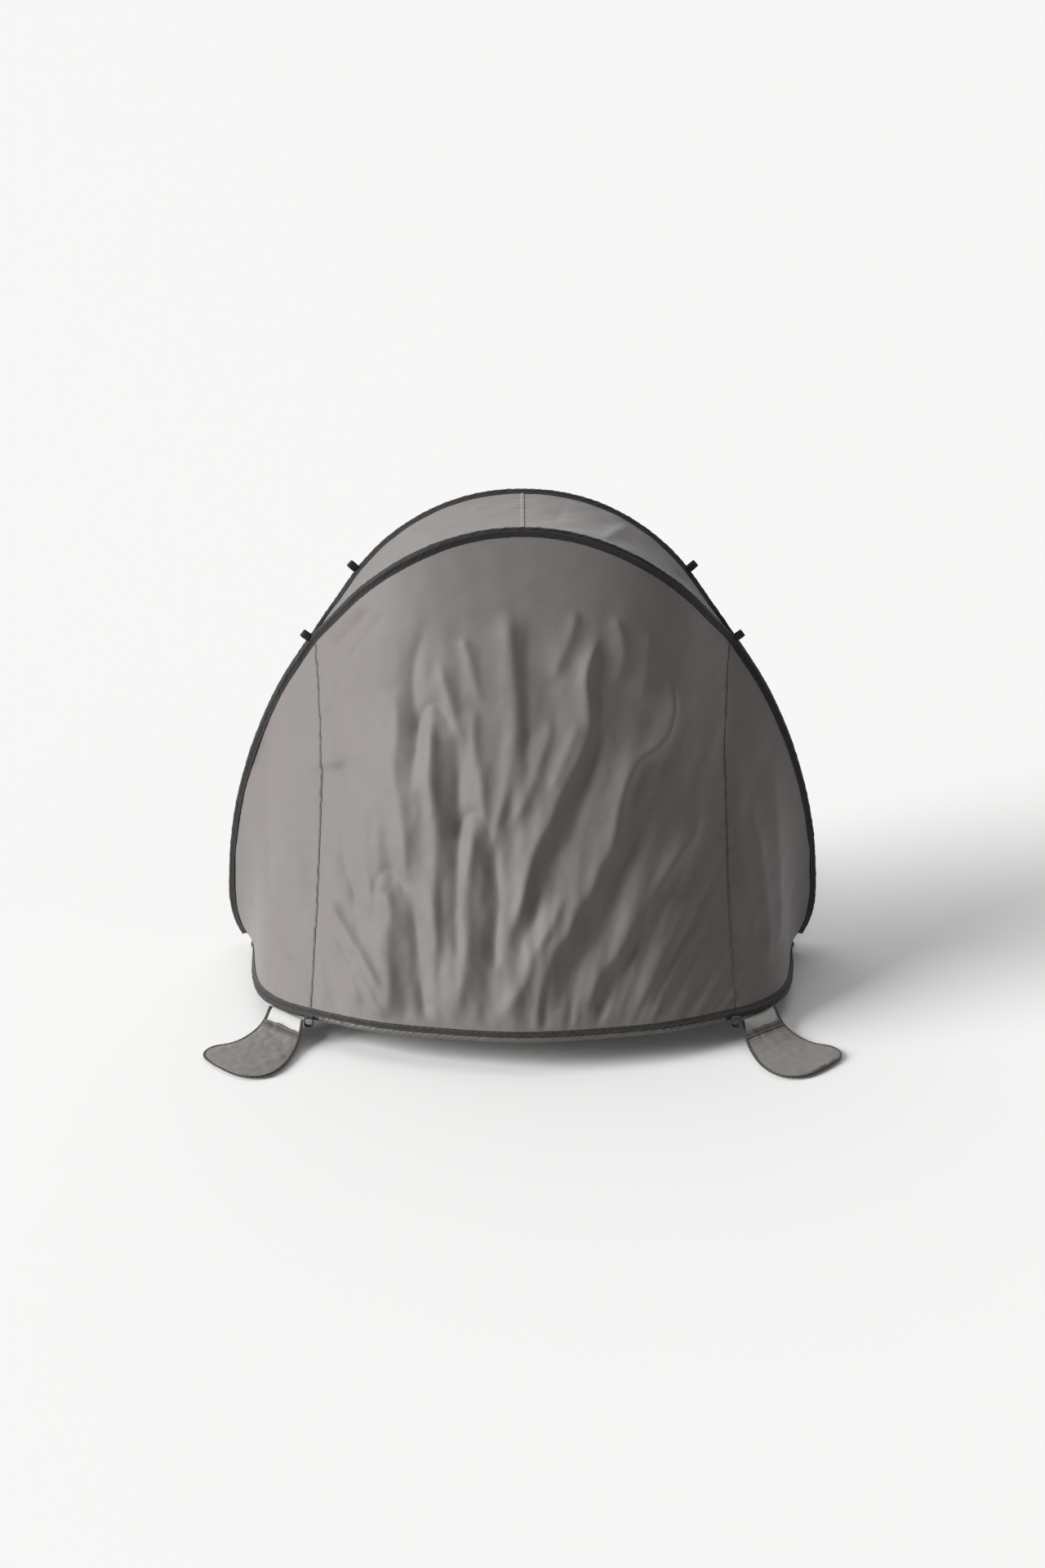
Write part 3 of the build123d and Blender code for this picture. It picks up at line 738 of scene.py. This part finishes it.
def roof_seam_place(u, v):
    point, outward = roof_surface(0.5 + (v - 0.5) * 0.008 / 1.06, 0.02 + 0.96 * u)
    return point + outward * (0.0006 + 0.0006 * np.sin(np.pi * v))[:, None]


# The strip wears the roof seam tape with its painted highlight.
roof_seam, _, _ = wrap("roof_seam", 90, 6, roof_seam_place, (0.29, 0.008), roof_seam_cloth_painted_highlight)
thicken(roof_seam, 0.0007)
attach(roof_seam, "arches")
print("roof:", len(roof_cloth.data.vertices), "corners")

# %% [markdown]
# ## The floor
# The groundsheet lies flat on the ground and turns up at its rim to meet the floor arcs.
# It is a heavier cloth, so it only shows long shallow waves.

# %% Floor
def floor_surface(u, v):
    share = 0.030 + 0.940 * u
    edge = FLOORS[REAR].at(share)
    along = FLOORS[REAR].along(share)
    inner = edge + unit(np.cross(UP, along)) * EDGE_IN_TAPE
    low, high = 0.0014, edge[:, 2] - 0.003
    rise = np.clip(1 - np.minimum(v, 1 - v) / 0.3, 0, 1) ** 2.2
    point = np.stack([inner[:, 0], inner[:, 1] * (1 - 2 * v), low + (high - low) * rise], -1)
    waves = 0.0009 * (1 + np.clip(ripple(point[:, :2], 41, 14, 0.05, 0.22), -1, 1))
    held = ease(np.minimum(v, 1 - v), 0, 0.05) * ease(np.minimum(u, 1 - u), 0, 0.04)
    point[:, 2] += waves * held
    return point


FLOOR_FLAT = (1.09, 1.17)
floor_sheet, _, _ = wrap("groundsheet_cloth", 180, 180, floor_surface, FLOOR_FLAT, floor_cloth)
thicken(floor_sheet, 0.0011)
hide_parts("groundsheet")
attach(floor_sheet, "floor")
print("floor:", len(floor_sheet.data.vertices), "corners")

# %% [markdown]
# ## The bound sleeves
# Each hoop runs in a sleeve of black tape. The tape is folded round the wire and the cloth's
# edge, and sewn through both, so its section is a round core with a flat tail that lies
# on the cloth. The thread draws the tape in, which leaves small slanting puckers.

# %% Sleeves
CORE_RADIUS = 0.0069
TAIL_LENGTH = 0.0128
SLEEVE_COLUMNS = 760


TAPE_TWIST = 0.0135


def sleeve_section():
    """The tape's section, as (along the tail, across it), round from the tail's end and back."""
    upper = [(TAIL_LENGTH, 0.0002), (TAIL_LENGTH - 0.0004, 0.0011), (0.0098, 0.0014)]
    angles = np.radians(np.arange(32, 329, 12))
    core = [(CORE_RADIUS * math.cos(a), CORE_RADIUS * math.sin(a)) for a in angles]
    return np.array(upper + core + [(x, -y) for x, y in reversed(upper)] + [upper[0]])


def sleeve(name, line, toward, body, nodes, seed=50):
    """A tape sleeve along a hoop line; toward(share) is the direction in which its tail lies."""
    section = sleeve_section()
    gone = np.concatenate([[0], np.cumsum(np.linalg.norm(np.diff(section, axis=0), axis=1))])
    around = gone[-1]

    def place(u, v):
        share = 0.003 + 0.994 * u
        run = share * line.length
        along = line.along(share)
        tail = square_to(toward(share), along)
        across = np.cross(along, tail)
        out = np.interp(v * around, gone, section[:, 0])
        side = np.interp(v * around, gone, section[:, 1])
        angle = np.arctan2(side, out)
        far = np.hypot(side, out)
        slant = run + 0.010 * angle
        both = np.stack([slant, 0.006 * angle], -1)
        pucker = 0.00040 * np.sin(slant * 2 * math.pi / TAPE_TWIST + 2.0 * np.sin(run * 39))
        pucker = pucker + 0.00045 * ripple(both, seed, 9, 0.009, 0.030)
        pucker = pucker + 0.0004 * ripple(np.stack([run, 0 * run], -1), seed + 1, 7, 0.05, 0.2)
        in_tail = ease(out, 0.006, 0.012)
        far = far + pucker * (1 - 0.4 * in_tail)
        wave = 0.0007 * in_tail * ripple(np.stack([run, 0 * run], -1), seed + 2, 7, 0.014, 0.05)
        sideways = far * np.sin(angle) + wave
        return line.at(share) + tail * (far * np.cos(angle))[:, None] + across * sideways[:, None]

    piece, _, _ = wrap(name, SLEEVE_COLUMNS, 40, place, (line.length, around), edge_tape, merge=True)
    bpy.ops.object.mode_set(mode="EDIT")
    bpy.ops.mesh.select_all(action="DESELECT")
    bpy.ops.mesh.select_non_manifold()
    bpy.ops.mesh.fill_holes(sides=0)
    bpy.ops.mesh.select_all(action="SELECT")
    bpy.ops.mesh.normals_make_consistent(inside=False)
    bpy.ops.object.mode_set(mode="OBJECT")
    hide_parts(*nodes)
    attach(piece, body)
    return piece


def column_at_arch(share):
    """The share along the floor arc that is sewn to the same column as a share of the arch."""
    stops = (TIP_ON_LEG, CROSSING_SHARE, 1 - CROSSING_SHARE, 1 - TIP_ON_LEG)
    return np.interp(share, stops, (TIP_ON_FLOOR, SEAM_ON_FLOOR, 1 - SEAM_ON_FLOOR, 1 - TIP_ON_FLOOR))


def column_at_floor(share):
    stops = (TIP_ON_FLOOR, SEAM_ON_FLOOR, 1 - SEAM_ON_FLOOR, 1 - TIP_ON_FLOOR)
    return np.interp(share, stops, (TIP_ON_LEG, CROSSING_SHARE, 1 - CROSSING_SHARE, 1 - TIP_ON_LEG))


def down_the_back(share):
    on_arch = np.clip(share, TIP_ON_LEG, 1 - TIP_ON_LEG)
    return FLOORS[REAR].at(column_at_arch(share)) - ARCHES[REAR].at(on_arch)


def up_the_back(share):
    on_floor = np.clip(share, TIP_ON_FLOOR, 1 - TIP_ON_FLOOR)
    return ARCHES[REAR].at(column_at_floor(share)) - FLOORS[REAR].at(on_floor)


def over_the_roof(share):
    """From the front arch towards the rear one over the roof, and straight inwards at the legs."""
    front = ARCHES[FRONT].at(share)
    gap = ARCHES[REAR].at(share) - front
    wide = ease(np.linalg.norm(gap, axis=1), 0.03, 0.12)[:, None]
    inward = front * (-1, 0, -1) + (0, 0, 0.35)
    return unit(gap) * wide + unit(inward) * (1 - wide)


def over_the_floor(share):
    return FLOORS[FRONT].at(share) * (0, -1, 0) + (0, -0.01, 0)


sleeve("rear_arch_tape", ARCHES[REAR], down_the_back, "arches", ["rear_arch_sleeve"], seed=51)
sleeve("front_arch_tape", ARCHES[FRONT], over_the_roof, "arches", ["front_arch_sleeve"], seed=55)
rear_floor_tape = sleeve("rear_floor_tape", FLOORS[REAR], up_the_back, "floor",
                         ["rear_floor_sleeve"], seed=59)
sleeve("front_floor_tape", FLOORS[FRONT], over_the_floor, "floor", ["front_floor_sleeve"], seed=63)

# Across the middle, the rear floor tape's lower faces take the lighter floor cloth: a painted highlight on the lower,
# rounded face of the tube.
rear_floor_tape.data.materials.append(floor_cloth)
line = FLOORS[REAR]
for face in rear_floor_tape.data.polygons:
    if abs(face.center.x) < 0.385:
        nearest = np.interp(face.center.x, line.points[:, 0], line.points[:, 2])
        if face.center.z < nearest + 0.0035:
            face.material_index = 1
print("sleeves made")

# %% [markdown]
# ## The bound side tips
# Where the two floor arcs meet under the legs, their raw ends are wrapped in tape and sewn.
# Each is a short soft block: a box is rounded, divided and pushed in where the thread pulls.

# %% Side tips
def side_tip(side):
    def place(u, v):
        turn = 2 * math.pi * u
        end = np.clip(v, 0, 1)
        run = (end - 0.5) * 2
        close = np.clip((1 - np.abs(run)) / 0.14, 0, 1)
        close = np.sqrt(np.clip(1 - (1 - close) ** 2, 0, 1))
        cosine, sine = np.cos(turn), np.sin(turn)
        x = np.sign(cosine) * np.abs(cosine) ** 0.6 * 0.0100
        z = np.sign(sine) * np.abs(sine) ** 0.6 * 0.0072
        pinch = 1 - 0.07 * np.exp(-((np.abs(run) - 0.55) / 0.08) ** 2)
        wrinkle = 0.00035 * ripple(np.stack([0.02 * cosine, 0.02 * sine, run * 0.03], -1), 71, 9, 0.008, 0.02)
        x, z = (x * pinch + wrinkle * cosine) * close, (z * pinch + wrinkle * sine) * close
        return np.stack([side * 0.5474 + x, run * 0.0194, 0.0077 + z], -1)
    return place


for name, side in SIDES:
    tip, _, _ = wrap(f"side_tip_tape_{name}", 56, 44, side_tip(side), (0.058, 0.039), edge_tape, merge=True)
    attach(tip, "floor")
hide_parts("side_tip_bindings")

# %% [markdown]
# ## Webbing loops
# Eight short loops of ribbed webbing take pegs and guy lines. They are all the same strip,
# bent into a loop and sewn flat at its foot, so one is modelled and the others are copies,
# each turned and moved to its own place on a hoop.

# %% Webbing loops
LOOP_SHAPE = [(0.0, 0.0008), (-0.55, 0.0008), (-0.86, 0.0016), (-0.95, 0.0050),
              (-0.96, 0.0100), (-0.90, 0.0146), (-0.60, 0.0178)]


def webbing_loop(name, half_width, depth):
    """A loop strip in its own frame: foot on X, reaching along Y, its hole along Z."""
    left = [(x * half_width, y, 0) for x, y in LOOP_SHAPE]
    line = SmoothLine(left + [(0, 0.0186, 0)] + [(-x, y, z) for x, y, z in reversed(left)])

    def strip(u, v):
        out = np.cross(line.along(u), UP)
        slack = 0.0004 * ripple(np.stack([u * 0.05, v * 0.012], -1), 81, 7, 0.01, 0.03)
        return line.at(u) + UP * ((v - 0.5) * depth)[:, None] + out * slack[:, None]

    loop, _, _ = wrap(name, 84, 10, strip, (0.050, depth), webbing_cloth, merge=True)
    thicken(loop, 0.0016)
    return loop


peg_model = webbing_loop("peg_loop_model", 0.0084, 0.0098)
arch_model = webbing_loop("arch_loop_model", 0.0050, 0.0136)


def loop_frame(foot, across, hole):
    """The matrix that puts the model loop's foot, its width and its hole in place."""
    across, hole = Vector(across).normalized(), Vector(hole).normalized()
    reach = hole.cross(across)
    placed = Matrix((across, reach, hole)).transposed().to_4x4()
    placed.translation = Vector(foot)
    return placed


def add_loop(model, node, placed):
    """A copy of a model loop, with its own mesh, on the body of the loop it stands for."""
    bpy.ops.object.select_all(action="DESELECT")
    bpy.context.view_layer.objects.active = model
    model.select_set(True)
    bpy.ops.object.duplicate(linked=False)
    loop = bpy.context.object
    loop.name = loop.data.name = node + "_webbing"
    loop.data.transform(placed)
    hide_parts(node)
    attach(loop, node)
    return loop


FOOT_OUT = 0.0066
PEG_LOOP = (0.405, 0.4697, 0.053)
for name, end in SIDES:
    for kind, side, share in (("crossing", REAR, 0.278), ("guy", FRONT, 0.345)):
        share = share if end == LEFT else 1 - share
        middle, along = ARCHES[side].at(share), ARCHES[side].along(share)
        out = np.array((-along[2], 0, along[0])) / math.hypot(along[0], along[2])
        frame_here = loop_frame(middle + out * FOOT_OUT, (0, 1, 0), (out[2], 0, -out[0]))
        add_loop(arch_model, f"{kind}_loop_{name}", frame_here)
    for place_name, side in (("rear", REAR), ("front", FRONT)):
        foot = (end * PEG_LOOP[0], side * PEG_LOOP[1], PEG_LOOP[2])
        add_loop(peg_model, f"{place_name}_peg_loop_{name}", loop_frame(foot, (1, 0, 0), (0, 1, 0)))
bpy.data.objects.remove(peg_model)
bpy.data.objects.remove(arch_model)
print("loops made")

# %% [markdown]
# ## Sand pockets
# A flat pocket of doubled cloth hangs from each corner of the back and lies on the ground,
# where sand holds it down. It is a tongue: it drops from the hoop, turns like an ankle and
# lies flat. The lining shows as a white strip at the mouth, in front of the dark hem.

# %% Where a pocket runs
MOUTH_INNER = (0.422, -0.455)
MOUTH_OUTER = (0.490, -0.392)
POCKET_OUTLINE = [(0.429, -0.530), (0.449, -0.592), (0.477, -0.624), (0.513, -0.627), (0.549, -0.604),
                  (0.582, -0.568), (0.600, -0.530), (0.590, -0.503), (0.556, -0.486), (0.520, -0.450)]
POCKET_DROP = [(-0.020, 0.040), (0.0, 0.037), (0.012, 0.026), (0.028, 0.016), (0.050, 0.0095), (0.080, 0.006),
               (0.130, 0.0044), (0.215, 0.0038)]
POCKET_TUCK = 0.009
TAPE_WIDTH = 0.005
FALL = SmoothLine([(far, 0, high) for far, high in POCKET_DROP])


class Pocket:
    """The surface of one sand pocket, read by a share across it and a share from mouth to toe."""

    def __init__(self, end, inset):
        inner = np.array((end * MOUTH_INNER[0], MOUTH_INNER[1], 0.0))
        outer = np.array((end * MOUTH_OUTER[0], MOUTH_OUTER[1], 0.0))
        self.end = end
        self.middle = (inner + outer) / 2
        self.out = unit(np.cross(outer - inner, UP) * end)
        tuck = self.out * -POCKET_TUCK
        points = np.array([inner + tuck] + [(end * x, y, 0.0) for x, y in POCKET_OUTLINE] + [outer + tuck])
        before = np.concatenate([points[:1], points[:-1]])
        after = np.concatenate([points[1:], points[-1:]])
        points = points + np.cross(UP, unit(after - before)) * (end * inset)
        self.rim = SmoothLine(points)

    def rest(self, ground):
        """Height of the pocket's middle layer over points of the ground."""
        far = (ground - self.middle) @ self.out
        return np.interp(far, FALL.points[:, 0], FALL.points[:, 2]), far

    def surface(self, across, down, layer, folds=1.0):
        inner, outer = self.rim.at(down * 0.47), self.rim.at(1 - down * 0.47)
        ground = inner + (outer - inner) * across[:, None]
        high, far = self.rest(ground)
        place = ground[:, :2]
        fall = np.exp(-np.abs(far - 0.02) / 0.05)
        soft = folds * (0.0016 + 0.0022 * fall) * ripple(place * (1.0, 0.8), 91, 11, 0.018, 0.06)
        held = ease(down, 0.0, 0.05) * ease(np.minimum(across, 1 - across), 0, 0.12) * ease(down, 1.0, 0.9)
        bulge = folds * 0.0020 * np.sin(np.pi * across) * ease(far, 0.02, 0.10)
        point = ground.copy()
        point[:, 2] = np.maximum(high + layer + (np.abs(soft) + bulge) * held, 0.0009)
        return point


# %% The pockets' pieces
def pocket_sheet(name, end, node, layer, first, last, inset, flat, material, thickness,
                 folds=1.0, columns=46, rows=64):
    """One layer of a pocket between two shares of the way from mouth to toe."""
    pocket = Pocket(end, inset)

    def place(u, v):
        across = u if end == RIGHT else 1 - u
        return pocket.surface(across, first + (last - first) * v, layer, folds)

    piece, _, _ = wrap(name, columns, rows, place, flat, material, merge=last > 0.99)
    thicken(piece, thickness)
    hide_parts(node)
    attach(piece, "sand_pocket_left" if end == LEFT else "sand_pocket_right")
    return piece


def pocket_edge(name, end, node):
    """Bias tape folded round the pocket's edge, from one end of the mouth to the other."""
    middle = Pocket(end, TAPE_WIDTH / 2)
    section = [(-0.0026, 0.0008), (-0.0020, 0.0016), (0.0018, 0.0019), (0.0026, 0.0010), (0.0027, 0.0),
               (0.0026, -0.0008), (0.0018, -0.0013), (-0.0020, -0.0012), (-0.0026, -0.0006), (-0.0026, 0.0008)]
    section = np.array(section)
    gone = np.concatenate([[0], np.cumsum(np.linalg.norm(np.diff(section, axis=0), axis=1))])

    def place(u, v):
        share = 0.012 + 0.976 * u
        ground = middle.rim.at(share)
        along = middle.rim.along(share)
        high, _ = middle.rest(ground)
        out = -np.cross(UP, along) * end
        side = np.interp(v * gone[-1], gone, section[:, 0])
        lift = np.interp(v * gone[-1], gone, section[:, 1])
        run = share * middle.rim.length
        pucker = 0.0003 * np.sin(run * 2 * math.pi / 0.009 + 2 * np.sin(run * 50)) * np.sign(lift)
        wave = 0.0005 * (1 + ripple(np.stack([run, 0 * run], -1), 95, 7, 0.02, 0.08))
        point = ground + out * side[:, None]
        point[:, 2] = np.maximum(high + 0.0008 + lift + pucker + np.abs(wave), 0.0004)
        return point

    tape, _, _ = wrap(name, 240, 18, place, (middle.rim.length, gone[-1]), pocket_tape, merge=True)
    bpy.ops.object.mode_set(mode="EDIT")
    bpy.ops.mesh.select_all(action="DESELECT")
    bpy.ops.mesh.select_non_manifold()
    bpy.ops.mesh.fill_holes(sides=0)
    bpy.ops.mesh.select_all(action="SELECT")
    bpy.ops.mesh.normals_make_consistent(inside=False)
    bpy.ops.object.mode_set(mode="OBJECT")
    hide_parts(node)
    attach(tape, "sand_pocket_left" if end == LEFT else "sand_pocket_right")
    return tape


for name, end in SIDES:
    lining = pocket_sheet(f"pocket_lining_{name}", end, f"pocket_back_{name}",
                          -0.0006, 0.0, 1.0, TAPE_WIDTH * 0.6, (0.150, 0.180),
                          lining_cloth, 0.0007, folds=0.25)
    front = pocket_sheet(f"pocket_cloth_{name}", end, f"pocket_front_{name}",
                         0.0020, 0.155, 1.0, TAPE_WIDTH * 0.6, (0.150, 0.160),
                         shelter_cloth, 0.0008)
    hem = pocket_sheet(f"pocket_hem_tape_{name}", end, f"pocket_hem_{name}",
                       0.0026, 0.118, 0.178, TAPE_WIDTH * 0.7, (0.110, 0.0064),
                       hem_cloth, 0.0014, folds=0.9, columns=60, rows=8)
    edge = pocket_edge(f"pocket_edge_tape_{name}", end, f"pocket_binding_{name}")
print("pockets made")
